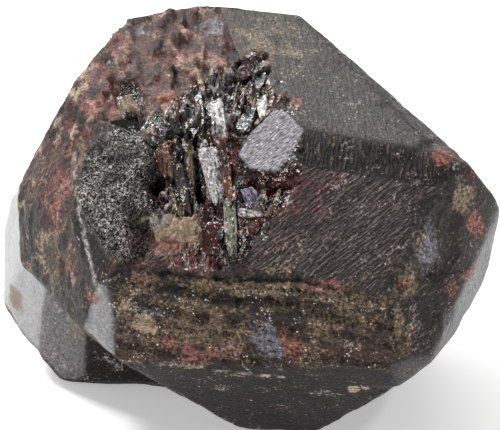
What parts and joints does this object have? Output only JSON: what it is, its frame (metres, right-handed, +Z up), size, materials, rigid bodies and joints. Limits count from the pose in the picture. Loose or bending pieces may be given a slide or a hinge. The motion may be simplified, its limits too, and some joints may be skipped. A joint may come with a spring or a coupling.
{
  "type": "garnet crystal",
  "caption": "Dark, nearly opaque garnet hand specimen: a broad faceted crystal with a smaller one grown into its flank and a broken, rusty-red rift.",
  "frame": {"origin": "middle of the specimen's bounding box, on the plane that it stands on", "axes": "+Z up, -Y towards the side with the large front face and the rift, +X to the right of that side"},
  "size_m": [0.0622, 0.0552, 0.0471],
  "materials": {
    "garnet": "satin"
  },
  "bodies": {
    "root": {"garnet_crystal": "garnet"}
  },
  "joints": []
}
